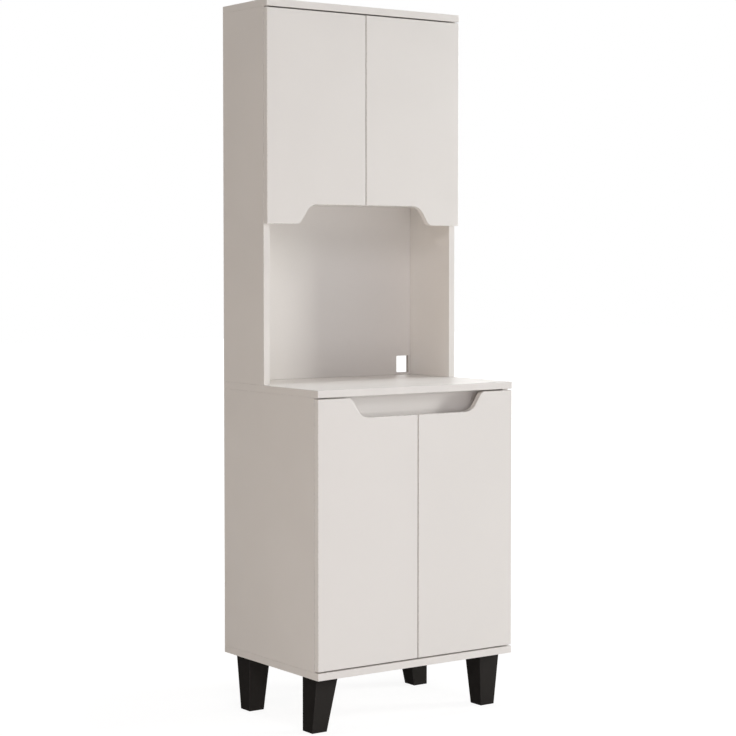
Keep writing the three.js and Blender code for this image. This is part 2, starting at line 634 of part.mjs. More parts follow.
/** A door with its hinges. */
function hungDoor(door) {
  const group = new THREE.Group();
  group.add(doorBoard(door));
  for (const [end, height] of Object.entries(door.hingeHeights)) {
    group.add(hinge(`${door.name}_${end}_hinge`, door, height));
  }
  return group;
}

// ---- The whole cabinet -------------------------------------------------------------------

const cabinet = new THREE.Group();
cabinet.name = 'microwave_cabinet';
cabinet.add(legs());
cabinet.add(baseCarcass());
cabinet.add(shelfPins('base_shelf', BASE_SHELF));
cabinet.add(hutchCarcass());
cabinet.add(shelfPins('cupboard_shelf', CUPBOARD_SHELF));
for (const door of doorSpecs()) {
  cabinet.add(hungDoor(door));
}

export default cabinet;
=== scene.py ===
"""Looks of a tall microwave cabinet on tapered legs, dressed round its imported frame.

Lengths are in metres in the frame of the CAD model: +Z is up, the doors face -Y, left and right
are as seen by a person who stands in front of the doors, and the origin is on the floor under
the middle of the cabinet.
"""

import logging
import math
from collections.abc import Iterable, Sequence
from dataclasses import dataclass, field
from enum import Enum

import bmesh
import bpy
from mathutils import Matrix, Vector


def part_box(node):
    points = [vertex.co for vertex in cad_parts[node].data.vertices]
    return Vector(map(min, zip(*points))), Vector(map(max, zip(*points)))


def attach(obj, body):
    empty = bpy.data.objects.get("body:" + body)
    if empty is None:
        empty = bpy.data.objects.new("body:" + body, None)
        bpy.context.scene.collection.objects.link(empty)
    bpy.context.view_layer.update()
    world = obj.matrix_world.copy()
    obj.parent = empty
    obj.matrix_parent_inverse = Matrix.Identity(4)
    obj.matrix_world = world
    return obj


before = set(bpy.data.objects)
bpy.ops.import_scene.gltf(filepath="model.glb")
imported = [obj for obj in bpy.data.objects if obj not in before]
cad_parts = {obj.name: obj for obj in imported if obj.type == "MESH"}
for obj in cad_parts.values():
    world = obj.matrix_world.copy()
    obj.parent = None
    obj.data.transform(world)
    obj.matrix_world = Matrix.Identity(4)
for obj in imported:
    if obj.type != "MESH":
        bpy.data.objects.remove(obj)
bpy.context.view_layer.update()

LOG = logging.getLogger("microwave_cabinet")
CABINET_BODY = "cabinet"

Colour = tuple[float, float, float]
Point = tuple[float, float, float]
PlanPoint = tuple[float, float]
Span = tuple[float, float]
Socket = bpy.types.NodeSocket
Shape = bmesh.types.BMesh
Vertex = bmesh.types.BMVert

BOARD_WHITE: Colour = (0.83, 0.80, 0.765)
INNER_HALF_WIDTH = 0.282  # from the middle of the cabinet to the inner face of a side


class Axis(Enum):
    """An axis of the frame that faces are told apart by."""

    Y = "Y"
    Z = "Z"


class Hand(Enum):
    """Side of the cabinet that a door hangs on; the value is the sign of x there."""

    LEFT = -1
    RIGHT = 1


# ---- Node trees --------------------------------------------------------------------------


class NodeGraph:
    """A Blender node tree, with short calls that add nodes and join them."""

    def __init__(self, tree: bpy.types.NodeTree) -> None:
        """Takes over a node tree and empties it.

        Args:
            tree: The node tree.
        """
        self.nodes = tree.nodes
        self.links = tree.links
        self.nodes.clear()

    def add(self, kind: str, **settings: object) -> bpy.types.Node:
        """Adds a node and sets its properties.

        Args:
            kind: Blender's name of the node.
            settings: The properties that are set.

        Returns:
            The node.
        """
        node = self.nodes.new(kind)
        for name, value in settings.items():
            setattr(node, name, value)
        return node

    def join(self, source: Socket, target: Socket) -> None:
        """Links one socket to another."""
        self.links.new(source, target)

    def math(self, operation: str, first: Socket, second: Socket | float | None = None) -> Socket:
        """Adds a math node.

        Args:
            operation: Blender's name of the operation.
            first: The first operand.
            second: The second operand, a socket or a number, where there is one.

        Returns:
            The result's socket.
        """
        node = self.add("ShaderNodeMath", operation=operation)
        self.join(first, node.inputs[0])
        if isinstance(second, Socket):
            self.join(second, node.inputs[1])
        elif second is not None:
            node.inputs[1].default_value = second
        return node.outputs["Value"]

    def spread(self, factor: Socket, low: float, high: float, start: float = 0.3, end: float = 0.7,
               interpolation: str = "SMOOTHSTEP") -> Socket:
        """Maps a factor onto a range.

        Args:
            factor: What is mapped.
            low: Result where the factor is at start or below.
            high: Result where the factor is at end or above.
            start: Factor that gives low.
            end: Factor that gives high.
            interpolation: Blender's name of the way between the two.

        Returns:
            The mapped value's socket.
        """
        node = self.add("ShaderNodeMapRange", interpolation_type=interpolation)
        for name, level in (("From Min", start), ("From Max", end), ("To Min", low), ("To Max", high)):
            node.inputs[name].default_value = level
        self.join(factor, node.inputs["Value"])
        return node.outputs["Result"]

    def show_mixed(self, output_kind: str, share: Socket, first: Socket, second: Socket) -> None:
        """Mixes two shaders and gives the mixture to a new output node.

        Args:
            output_kind: Blender's name of the output node.
            share: 0 shows the first shader and 1 the second.
            first: The first shader.
            second: The second shader.
        """
        mix = self.add("ShaderNodeMixShader")
        self.join(share, mix.inputs["Fac"])
        self.join(first, mix.inputs[1])
        self.join(second, mix.inputs[2])
        self.join(mix.outputs["Shader"], self.add(output_kind).inputs["Surface"])


class FinishTree(NodeGraph):
    """Node tree of one finish."""

    facing_limit: float = 0.8  # a face looks along an axis where its normal's share along it is larger

    def __init__(self, name: str) -> None:
        """Starts a material that has a principled shader and nothing else.

        Args:
            name: Name of the new material.
        """
        self.material = bpy.data.materials.new(name)
        self.material.use_nodes = True
        super().__init__(self.material.node_tree)
        self.shader = self.add("ShaderNodeBsdfPrincipled")
        self.join(self.shader.outputs["BSDF"], self.add("ShaderNodeOutputMaterial").inputs["Surface"])
        coordinates = self.add("ShaderNodeTexCoord")
        self.place = coordinates.outputs["Object"]
        self.normal = coordinates.outputs["Normal"]

    def fix(self, **levels: float) -> None:
        """Sets shader sockets that are the same all over.

        Args:
            levels: The sockets' levels by name, such as specular_ior_level.
        """
        sockets = {socket.name.lower().replace(" ", "_"): socket for socket in self.shader.inputs}
        for name, level in levels.items():
            sockets[name].default_value = level

    def noise(self, per_metre: float, detail: float = 2.0, grain: float = 0.5,
              stretch: Point = (1.0, 1.0, 1.0), offset: float = 0.0) -> Socket:
        """Adds noise that is fixed to the piece.

        Args:
            per_metre: How many blotches there are in a metre.
            detail: Octaves of finer noise.
            grain: Weight of the finer octaves.
            stretch: Scale along each axis; below 1 draws the noise out along it.
            offset: Shift that sets one noise apart from another.

        Returns:
            The noise's factor, mostly between 0.3 and 0.7.
        """
        mapping = self.add("ShaderNodeMapping")
        mapping.inputs["Scale"].default_value = stretch
        mapping.inputs["Location"].default_value = (offset, offset, offset)
        self.join(self.place, mapping.inputs["Vector"])
        texture = self.add("ShaderNodeTexNoise")
        texture.inputs["Scale"].default_value = per_metre
        texture.inputs["Detail"].default_value = detail
        texture.inputs["Roughness"].default_value = grain
        self.join(mapping.outputs["Vector"], texture.inputs["Vector"])
        return texture.outputs["Fac"]

    def blended(self, first: Socket, second: Socket, share: float) -> Socket:
        """Blends two factors, of which the first has the given share."""
        rest = self.math("MULTIPLY", second, 1.0 - share)
        return self.math("ADD", self.math("MULTIPLY", first, share), rest)

    def tint(self, factor: Socket, low: Colour | Socket, high: Colour | Socket) -> Socket:
        """Mixes two colours by a factor.

        Args:
            factor: 0 gives the first colour and 1 the second.
            low: The first colour, or a socket that gives it.
            high: The second colour, or a socket that gives it.

        Returns:
            The mixed colour's socket.
        """
        node = self.add("ShaderNodeMix", data_type="RGBA")
        self.join(factor, node.inputs["Factor"])
        for name, colour in (("A", low), ("B", high)):
            socket = next(s for s in node.inputs if s.name == name and s.type == "RGBA")
            if isinstance(colour, Socket):
                self.join(colour, socket)
            else:
                socket.default_value = (*colour, 1.0)
        return next(s for s in node.outputs if s.type == "RGBA")

    def varied(self, factor: Socket, colour: Colour, low: float, high: float, start: float = 0.3,
               end: float = 0.7) -> Socket:
        """Scales a colour by low up to high, as a factor goes from start to end."""
        share = self.spread(factor, 0.0, 1.0, start, end)
        return self.tint(share, scaled(colour, low), scaled(colour, high))

    def facing(self, axis: Axis, both_ways: bool = True) -> Socket:
        """Tells the faces that look along an axis from the others.

        Args:
            axis: The axis.
            both_ways: Whether a face that looks the other way along it counts too.

        Returns:
            A socket that is 1 on those faces and 0 on the others.
        """
        split = self.add("ShaderNodeSeparateXYZ")
        self.join(self.normal, split.inputs["Vector"])
        along = split.outputs[axis.value]
        if both_ways:
            along = self.math("ABSOLUTE", along)
        return self.math("GREATER_THAN", along, self.facing_limit)

    def relief(self, height: Socket, depth: float, strength: float) -> None:
        """Raises the surface by a height, as a bump.

        Args:
            height: The height, from 0 to 1.
            depth: What a height of 1 stands for, in metres.
            strength: Share of the bump that shows.
        """
        bump = self.add("ShaderNodeBump")
        bump.inputs["Distance"].default_value = depth
        bump.inputs["Strength"].default_value = strength
        self.join(height, bump.inputs["Height"])
        self.join(bump.outputs["Normal"], self.shader.inputs["Normal"])

    def colour(self, socket: Socket) -> None:
        """Joins the base colour."""
        self.join(socket, self.shader.inputs["Base Color"])

    def roughness(self, socket: Socket) -> None:
        """Joins the roughness."""
        self.join(socket, self.shader.inputs["Roughness"])


def scaled(colour: Colour, factor: float) -> Colour:
    """Gives a colour that is lighter or darker by a factor."""
    return tuple(channel * factor for channel in colour)


# ---- Finishes ----------------------------------------------------------------------------


@dataclass(frozen=True)
class Finish:
    """A finish of the cabinet; its material is made once."""

    name: str

    def material(self) -> bpy.types.Material:
        """Makes the material, or finds the one made before.

        Returns:
            The material.
        """
        made = bpy.data.materials.get(self.name)
        if made is None:
            tree = FinishTree(self.name)
            self.draw(tree)
            made = tree.material
        return made

    def draw(self, tree: FinishTree) -> None:
        """Draws the finish into its node tree."""
        raise NotImplementedError


@dataclass(frozen=True)
class Melamine(Finish):
    """White melamine-faced board with a fine pearl grain and banded edges."""

    face: Colour = BOARD_WHITE
    banded: Axis = Axis.Y  # the axis along which the board's edge-banded sides look
    band_gloss: float = 0.08  # how much less rough the band is
    grain_depth: float = 0.00006

    def draw(self, tree: FinishTree) -> None:
        """Draws the finish into its node tree.

        Args:
            tree: The node tree.
        """
        clouds = tree.noise(per_metre=3.2, detail=3.0)
        grain = tree.noise(per_metre=1150.0, detail=3.0, grain=0.6)
        board = tree.varied(tree.blended(clouds, grain, share=0.6), self.face, low=0.975, high=1.015)
        lines = tree.noise(per_metre=260.0, stretch=self.along_band(), offset=4.0)
        band = tree.varied(lines, self.face, low=0.995, high=1.03)
        on_band = tree.facing(self.banded)
        tree.colour(tree.tint(on_band, board, band))
        smudges = tree.noise(per_metre=14.0, detail=4.0, grain=0.6, offset=2.0)
        gloss = tree.math("MULTIPLY", on_band, self.band_gloss)
        tree.roughness(tree.math("SUBTRACT", tree.spread(smudges, low=0.40, high=0.50), gloss))
        tree.relief(grain, self.grain_depth, strength=0.5)
        tree.fix(specular_ior_level=0.4)

    def along_band(self) -> Point:
        """Gives the stretch that draws the band's faint lines out along it."""
        return (0.06, 1.0, 0.06) if self.banded is Axis.Y else (0.06, 1.0, 1.0)


@dataclass(frozen=True)
class BandArris(Finish):
    """Scraped arris of an edge band, a little darker than the board as painted shade of the grooves where
    boards meet; its lighter rubs are wear.
    """

    # painted shade: darker than the board so the joints read dark; it is used on every board arris
    face: Colour = (0.77, 0.74, 0.71)

    def draw(self, tree: FinishTree) -> None:
        """Draws the finish into its node tree.

        Args:
            tree: The node tree.
        """
        rubs = tree.noise(per_metre=90.0, detail=4.0, grain=0.65)
        tree.colour(tree.varied(rubs, self.face, low=1.0, high=1.09, start=0.42, end=0.62))
        tree.roughness(tree.spread(tree.noise(per_metre=400.0, detail=3.0), low=0.28, high=0.40))
        tree.relief(tree.noise(per_metre=1500.0), depth=0.00003, strength=0.3)
        tree.fix(specular_ior_level=0.5)


@dataclass(frozen=True)
class DoorFilm(Finish):
    """Satin white film of the doors: a slight orange peel, and a plainer back."""

    face: Colour = BOARD_WHITE
    back: Colour = (0.81, 0.78, 0.745)
    back_dullness: float = 0.12  # how much rougher the back is
    peel_depth: float = 0.00005

    def draw(self, tree: FinishTree) -> None:
        """Draws the finish into its node tree.

        Args:
            tree: The node tree.
        """
        clouds = tree.noise(per_metre=2.4, detail=3.0, offset=1.0)
        flecks = tree.noise(per_metre=1900.0)
        film = tree.varied(tree.blended(clouds, flecks, share=0.7), self.face, low=0.985, high=1.01)
        plain = tree.varied(flecks, self.back, low=0.98, high=1.01)
        on_back = tree.facing(Axis.Y, both_ways=False)
        tree.colour(tree.tint(on_back, film, plain))
        smudges = tree.noise(per_metre=9.0, detail=5.0, grain=0.6, offset=3.0)
        dull = tree.math("MULTIPLY", on_back, self.back_dullness)
        tree.roughness(tree.math("ADD", tree.spread(smudges, low=0.30, high=0.40), dull))
        tree.relief(tree.noise(per_metre=230.0, grain=0.4), self.peel_depth, strength=0.5)
        tree.fix(specular_ior_level=0.5)


@dataclass(frozen=True)
class DoorArris(Finish):
    """Rounded arris of a door, where hands have worn the film smooth."""

    face: Colour = BOARD_WHITE

    def draw(self, tree: FinishTree) -> None:
        """Draws the finish into its node tree.

        Args:
            tree: The node tree.
        """
        rubs = tree.noise(per_metre=60.0, detail=4.0, grain=0.6)
        tree.colour(tree.varied(rubs, self.face, low=0.97, high=1.02, start=0.40, end=0.64))
        tree.roughness(tree.spread(tree.noise(per_metre=120.0, detail=3.0), low=0.24, high=0.34))
        tree.relief(tree.noise(per_metre=700.0), depth=0.00003, strength=0.3)
        tree.fix(specular_ior_level=0.5)


@dataclass(frozen=True)
class FaceBoard(Finish):
    """Thin fibreboard: a white printed face in front, bare fibre behind and at cut edges."""

    face: Colour = BOARD_WHITE
    fibre: Colour = (0.40, 0.29, 0.19)
    cut: Colour = (0.50, 0.45, 0.39)
    fibre_dullness: float = 0.26  # how much rougher the bare face is
    fibre_depth: float = 0.00012

    def draw(self, tree: FinishTree) -> None:
        """Draws the finish into its node tree.

        Args:
            tree: The node tree.
        """
        flecks = tree.noise(per_metre=800.0, detail=3.0, grain=0.6)
        clouds = tree.noise(per_metre=2.8, detail=3.0, offset=5.0)
        white = tree.varied(tree.blended(clouds, flecks, share=0.6), self.face, low=0.975, high=1.015)
        tangle = tree.noise(per_metre=420.0, detail=5.0, grain=0.7, stretch=(1.0, 1.0, 0.35))
        blotches = tree.noise(per_metre=16.0, detail=4.0, grain=0.6, offset=6.0)
        fibres = tree.blended(tangle, blotches, share=0.6)
        bare = tree.varied(fibres, self.fibre, low=0.80, high=1.18)
        sawn = tree.varied(tangle, self.cut, low=0.88, high=1.08)
        behind = tree.facing(Axis.Y, both_ways=False)
        broad = tree.facing(Axis.Y)
        tree.colour(tree.tint(broad, sawn, tree.tint(behind, white, bare)))
        dull = tree.math("MULTIPLY", behind, self.fibre_dullness)
        tree.roughness(tree.math("ADD", tree.spread(blotches, low=0.46, high=0.54), dull))
        tree.relief(fibres, self.fibre_depth, strength=0.35)
        tree.fix(specular_ior_level=0.35)


@dataclass(frozen=True)
class LegPlastic(Finish):
    """Black moulded plastic with a fine sparked texture; its front and rear faces are painted greyer, a
    painted highlight of the light that falls on them.
    """

    face: Colour = (0.0125, 0.0110, 0.0100)
    # painted highlight: the lighter colour of the front and rear faces, standing for light that falls on
    # them
    painted_highlight: Colour = (0.031, 0.0285, 0.0265)
    scuff: Colour = (0.05, 0.048, 0.046)
    scuff_height: float = 0.012  # how far up from the floor the legs are scuffed
    spark_depth: float = 0.00008

    def draw(self, tree: FinishTree) -> None:
        """Draws the finish into its node tree.

        Args:
            tree: The node tree.
        """
        sparks = tree.noise(per_metre=1400.0, detail=3.0, grain=0.6)
        # faces along Y take the painted highlight colour; the other faces keep the plain black
        highlight_faces = tree.facing(Axis.Y)
        darker = tree.tint(highlight_faces, scaled(self.face, 0.8), scaled(self.painted_highlight, 0.85))
        lighter = tree.tint(highlight_faces, scaled(self.face, 1.3), scaled(self.painted_highlight, 1.2))
        black = tree.tint(tree.spread(sparks, low=0.0, high=1.0), darker, lighter)
        split = tree.add("ShaderNodeSeparateXYZ")
        tree.join(tree.place, split.inputs["Vector"])
        at_foot = tree.spread(split.outputs["Z"], low=1.0, high=0.0, start=0.0, end=self.scuff_height)
        scuffs = tree.noise(per_metre=240.0, detail=5.0, grain=0.7)
        scuffed = tree.spread(scuffs, low=0.0, high=0.8, start=0.5, end=0.68)
        tree.colour(tree.tint(tree.math("MULTIPLY", at_foot, scuffed), black, self.scuff))
        sheens = tree.noise(per_metre=30.0, detail=4.0, grain=0.6)
        tree.roughness(tree.spread(sheens, low=0.50, high=0.62))
        tree.relief(sparks, self.spark_depth, strength=0.6)
        tree.fix(specular_ior_level=0.02)


@dataclass(frozen=True)
class LegArris(Finish):
    """Arris of a leg, polished a little by handling."""

    face: Colour = (0.026, 0.025, 0.024)

    def draw(self, tree: FinishTree) -> None:
        """Draws the finish into its node tree.

        Args:
            tree: The node tree.
        """
        rubs = tree.noise(per_metre=110.0, detail=4.0, grain=0.6)
        tree.colour(tree.varied(rubs, self.face, low=0.8, high=1.6, start=0.45, end=0.65))
        tree.roughness(tree.spread(tree.noise(per_metre=300.0), low=0.36, high=0.48))
        tree.fix(specular_ior_level=0.08)


@dataclass(frozen=True)
class PlatedSteel(Finish):
    """Nickel-plated pressed steel of the hinges, with faint drawing lines."""

    face: Colour = (0.62, 0.61, 0.59)

    def draw(self, tree: FinishTree) -> None:
        """Draws the finish into its node tree.

        Args:
            tree: The node tree.
        """
        lines = tree.noise(per_metre=900.0, detail=3.0, grain=0.6, stretch=(1.0, 0.05, 1.0))
        stains = tree.noise(per_metre=45.0, detail=4.0, grain=0.6)
        tree.colour(tree.varied(stains, self.face, low=0.90, high=1.06))
        dull = tree.spread(stains, low=0.0, high=0.08)
        tree.roughness(tree.math("ADD", tree.spread(lines, low=0.18, high=0.30), dull))
        tree.relief(lines, depth=0.00002, strength=0.4)
        tree.fix(metallic=1.0)


@dataclass(frozen=True)
class ZincSteel(Finish):
    """Bright zinc-plated steel, part bluish and part straw-coloured."""

    blue: Colour = (0.50, 0.53, 0.56)
    straw: Colour = (0.58, 0.55, 0.47)

    def draw(self, tree: FinishTree) -> None:
        """Draws the finish into its node tree.

        Args:
            tree: The node tree.
        """
        films = tree.noise(per_metre=130.0, detail=3.0, grain=0.6)
        grain = tree.noise(per_metre=2200.0, detail=3.0, grain=0.6)
        tree.colour(tree.tint(tree.spread(films, 0.0, 1.0, start=0.42, end=0.7), self.blue, self.straw))
        tree.roughness(tree.spread(grain, low=0.30, high=0.44))
        tree.relief(grain, depth=0.00002, strength=0.5)
        tree.fix(metallic=1.0)


@dataclass(frozen=True)
class CapPlastic(Finish):
    """White moulded plastic of the caps that cover the cam fittings."""

    face: Colour = (0.83, 0.81, 0.78)

    def draw(self, tree: FinishTree) -> None:
        """Draws the finish into its node tree.

        Args:
            tree: The node tree.
        """
        bloom = tree.noise(per_metre=160.0, detail=3.0)
        tree.colour(tree.varied(bloom, self.face, low=0.97, high=1.02))
        tree.roughness(tree.spread(bloom, low=0.32, high=0.42))
        tree.relief(tree.noise(per_metre=1800.0), depth=0.00002, strength=0.4)
        tree.fix(specular_ior_level=0.5)


@dataclass(frozen=True)
class ClearRubber(Finish):
    """Clear soft bumper that a door closes against."""

    face: Colour = (0.90, 0.91, 0.90)

    def draw(self, tree: FinishTree) -> None:
        """Draws the finish into its node tree.

        Args:
            tree: The node tree.
        """
        haze = tree.noise(per_metre=500.0, detail=3.0)
        tree.colour(tree.varied(haze, self.face, low=0.95, high=1.0))
        tree.roughness(tree.spread(haze, low=0.10, high=0.24))
        tree.relief(haze, depth=0.00003, strength=0.3)
        tree.fix(transmission_weight=0.85, ior=1.42)


MELAMINE = Melamine("melamine_board")
MELAMINE_RAIL = Melamine("melamine_rail", banded=Axis.Z)
BAND_ARRIS = BandArris("band_arris")
DOOR_FILM = DoorFilm("door_film")
DOOR_ARRIS = DoorArris("door_arris")
FACE_BOARD = FaceBoard("face_board")
LEG_PLASTIC = LegPlastic("leg_plastic")
LEG_ARRIS = LegArris("leg_arris")
PLATED_STEEL = PlatedSteel("plated_steel")
ZINC_STEEL = ZincSteel("bright_zinc")
CAP_PLASTIC = CapPlastic("cap_plastic")
CLEAR_RUBBER = ClearRubber("clear_rubber")


# ---- Arrises of the CAD pieces -----------------------------------------------------------


@dataclass(frozen=True)
class Arris:
    """How a CAD piece's sharp edges are rounded, and which of them."""

    name: str
    radius: float
    segments: int = 3
    shortest: float = 0.012  # shorter edges stay sharp, such as the rim of a small bore
    reach: float = 0.0  # nearer than this to the middle of the cabinet, short edges count too
    sharp_angle: float = math.radians(40.0)
    flat_angle: float = math.radians(1.0)
    weld_distance: float = 0.00001

    def soften(self, piece: bpy.types.Object) -> None:
        """Adds the modifiers that round the piece's edges; the arris takes its second finish.

        Args:
            piece: A CAD piece with two material slots.
        """
        weld = piece.modifiers.new("weld", "WELD")
        weld.merge_threshold = self.weld_distance
        flat = piece.modifiers.new("whole_faces", "DECIMATE")
        flat.decimate_type = "DISSOLVE"
        flat.angle_limit = self.flat_angle
        picker = piece.modifiers.new("pick_edges", "NODES")
        picker.node_group = bpy.data.node_groups.get(self.name) or self.edge_picker()
        bevel = piece.modifiers.new("arris", "BEVEL")
        bevel.limit_method = "WEIGHT"
        bevel.width = self.radius
        bevel.segments = self.segments
        bevel.use_clamp_overlap = False
        bevel.harden_normals = True
        bevel.material = 1

    def edge_picker(self) -> bpy.types.NodeTree:
        """Makes the node group that shades a piece by its angles and marks the edges to round.

        Returns:
            The node group.
        """
        group = bpy.data.node_groups.new(self.name, "GeometryNodeTree")
        for way in ("INPUT", "OUTPUT"):
            group.interface.new_socket("Geometry", in_out=way, socket_type="NodeSocketGeometry")
        graph = NodeGraph(group)
        angle = graph.add("GeometryNodeInputMeshEdgeAngle").outputs["Unsigned Angle"]
        ends = graph.add("GeometryNodeInputMeshEdgeVertices")
        length = graph.add("ShaderNodeVectorMath", operation="DISTANCE")
        graph.join(ends.outputs["Position 1"], length.inputs[0])
        graph.join(ends.outputs["Position 2"], length.inputs[1])
        split = graph.add("ShaderNodeSeparateXYZ")
        graph.join(ends.outputs["Position 1"], split.inputs["Vector"])
        long_enough = graph.math("GREATER_THAN", length.outputs["Value"], self.shortest)
        near_middle = graph.math("LESS_THAN", graph.math("ABSOLUTE", split.outputs["X"]), self.reach)
        sharp = graph.math("GREATER_THAN", angle, self.sharp_angle)
        picked = graph.math("MULTIPLY", sharp, graph.math("MAXIMUM", long_enough, near_middle))
        plain = graph.add("GeometryNodeRemoveAttribute")
        plain.inputs["Name"].default_value = "custom_normal"
        smooth_faces = graph.add("GeometryNodeSetShadeSmooth", domain="FACE")
        smooth_edges = graph.add("GeometryNodeSetShadeSmooth", domain="EDGE")
        graph.join(graph.math("LESS_THAN", angle, self.sharp_angle), smooth_edges.inputs["Shade Smooth"])
        mark = graph.add("GeometryNodeStoreNamedAttribute", domain="EDGE", data_type="FLOAT")
        mark.inputs["Name"].default_value = "bevel_weight_edge"
        graph.join(picked, mark.inputs["Value"])
        start, end = graph.add("NodeGroupInput"), graph.add("NodeGroupOutput")
        chain = [start, plain, smooth_faces, smooth_edges, mark, end]
        for before, after in zip(chain, chain[1:]):
            graph.join(before.outputs[0], after.inputs[0])
        return group


BOARD_ARRIS = Arris("board_edges", radius=0.0008)
BACK_BOARD_ARRIS = Arris("back_board_edges", radius=0.0004)
LEAF_ARRIS = Arris("door_edges", radius=0.0016, segments=4, reach=0.256)
MOULDED_ARRIS = Arris("leg_edges", radius=0.0008)
PRESSED_ARRIS = Arris("pressed_edges", radius=0.0003, segments=2, shortest=0.0022)
LINK_ARRIS = Arris("link_edges", radius=0.0002, segments=2, shortest=0.0022, flat_angle=math.radians(2.0),
                   weld_distance=0.00005)


# ---- Meshes of the small fittings --------------------------------------------------------


def seat_at(place: Point, outwards: Point, turn: float = 0.0) -> Matrix:
    """Gives the matrix that stands a form's z axis outwards on a surface, after a turn in radians."""
    upright = Vector(outwards).to_track_quat("Z", "Y").to_matrix().to_4x4()
    return Matrix.Translation(place) @ upright @ Matrix.Rotation(turn, 4, "Z")


def quarter_turns(points: Sequence[PlanPoint]) -> list[PlanPoint]:
    """Repeats the points of one corner at the other three, anticlockwise.

    Args:
        points: Points of the first corner, seen from above.

    Returns:
        The points of all four corners.
    """
    all_points: list[PlanPoint] = []
    for _ in range(4):
        all_points += points
        points = [(-y, x) for x, y in points]
    return all_points


@dataclass(frozen=True)
class TurnedForm:
    """A closed round form; its own z axis points out of the surface that it sits on."""

    profile: tuple[PlanPoint, ...]  # radius and height of each ring, up to the middle of the top
    sides: int

    def add_to(self, shape: Shape, seat: Matrix) -> None:
        """Adds the form to a mesh.

        Args:
            shape: Mesh that the form is added to.
            seat: Where the form sits.
        """
        rings = []
        for radius, height in self.profile[:-1]:
            angles = (2.0 * math.pi * i / self.sides for i in range(self.sides))
            points = [Vector((radius * math.cos(a), radius * math.sin(a), height)) for a in angles]
            rings.append([shape.verts.new(seat @ point) for point in points])
        crown = shape.verts.new(seat @ Vector((0.0, 0.0, self.profile[-1][1])))
        shape.faces.new(list(reversed(rings[0])))
        for lower, upper in zip(rings, rings[1:]):
            for i in range(self.sides):
                j = (i + 1) % self.sides
                shape.faces.new((lower[i], lower[j], upper[j], upper[i]))
        for i in range(self.sides):
            shape.faces.new((rings[-1][i], rings[-1][(i + 1) % self.sides], crown))


@dataclass(frozen=True)
class ScrewHead:
    """Head of a cross-recessed screw; its own z axis points out of the surface."""

    radius: float = 0.0034
    height: float = 0.0011
    sunk: float = 0.0003
    recess_depth: float = 0.0008
    dome: tuple[PlanPoint, ...] = ((1.0, 0.3), (0.92, 0.72), (0.74, 1.0))  # shares of radius and height
    cross_reach: float = 0.46  # of the cross's arms, as a share of the radius
    cross_half_width: float = 0.15  # of its arms, as a share of the radius
    cross_taper: float = 0.7  # size of the cross at its floor, as a share of its mouth
    sides: int = 12  # three for each of the cross's corners

    def add_to(self, shape: Shape, seat: Matrix) -> None:
        """Adds the head to a mesh.

        Args:
            shape: Mesh that the head is added to.
            seat: Where the head sits.
        """
        rings = []
        levels = [(1.0, -self.sunk)] + [(share, part * self.height) for share, part in self.dome]
        for share, height in levels:
            reach = self.radius * share
            angles = (2.0 * math.pi * (i - 0.5) / self.sides for i in range(self.sides))
            plan = [(reach * math.cos(a), reach * math.sin(a)) for a in angles]
            rings.append(self.outline(shape, seat, plan, height))
        tip, half = self.cross_reach * self.radius, self.cross_half_width * self.radius
        rim = self.outline(shape, seat, quarter_turns([(tip, -half), (tip, half), (tip, tip)]), self.height)
        inner = self.outline(shape, seat, quarter_turns([(half, half)]), self.height)
        shape.faces.new(list(reversed(rings[0])))
        for lower, upper in zip(rings, rings[1:] + [rim]):
            self.wall(shape, lower, upper)
        for corner in range(4):
            first = 3 * corner + 1
            shape.faces.new((rim[first], rim[first + 1], rim[(first + 2) % self.sides], inner[corner]))
        self.press_cross(shape, seat, rim, inner)

    def outline(self, shape: Shape, seat: Matrix, plan: Sequence[PlanPoint], height: float) -> list[Vertex]:
        """Adds the vertices of an outline at one height."""
        return [shape.verts.new(seat @ Vector((x, y, height))) for x, y in plan]

    def wall(self, shape: Shape, lower: Sequence[Vertex], upper: Sequence[Vertex]) -> None:
        """Joins two outlines with a wall.

        Args:
            shape: Mesh of the head.
            lower: Vertices of the first outline, anticlockwise.
            upper: Vertices of the second one.
        """
        for i in range(self.sides):
            j = (i + 1) % self.sides
            shape.faces.new((lower[i], lower[j], upper[j], upper[i]))

    def press_cross(self, shape: Shape, seat: Matrix, rim: Sequence[Vertex],
                    inner: Sequence[Vertex]) -> None:
        """Presses the cross into the head.

        Args:
            shape: Mesh of the head.
            seat: Where the head sits.
            rim: Vertices of the square round the cross, anticlockwise.
            inner: The cross's four inner corners.
        """
        mouth = []
        for corner in range(4):
            first = 3 * corner
            mouth += [rim[first], rim[first + 1], inner[corner]]
        tip = self.cross_taper * self.cross_reach * self.radius
        half = self.cross_taper * self.cross_half_width * self.radius
        plan = quarter_turns([(tip, -half), (tip, half), (half, half)])
        deep = self.outline(shape, seat, plan, self.height - self.recess_depth)
        self.wall(shape, mouth, deep)
        shape.faces.new((deep[2], deep[5], deep[8], deep[11]))
        for arm in range(4):
            first = 3 * arm
            shape.faces.new((deep[first], deep[first + 1], deep[first + 2], deep[first - 1]))


CAP = TurnedForm(
    ((0.0082, -0.0003), (0.0082, 0.0004), (0.0078, 0.0008), (0.0060, 0.0010), (0.0, 0.0011)), sides=28)
BUMPER = TurnedForm(
    ((0.0040, -0.0001), (0.0040, 0.0003), (0.0036, 0.0006), (0.0022, 0.0008), (0.0, 0.0009)), sides=20)
FITTING_CREASE = math.radians(38.0)  # steeper edges of the small fittings are shaded sharp


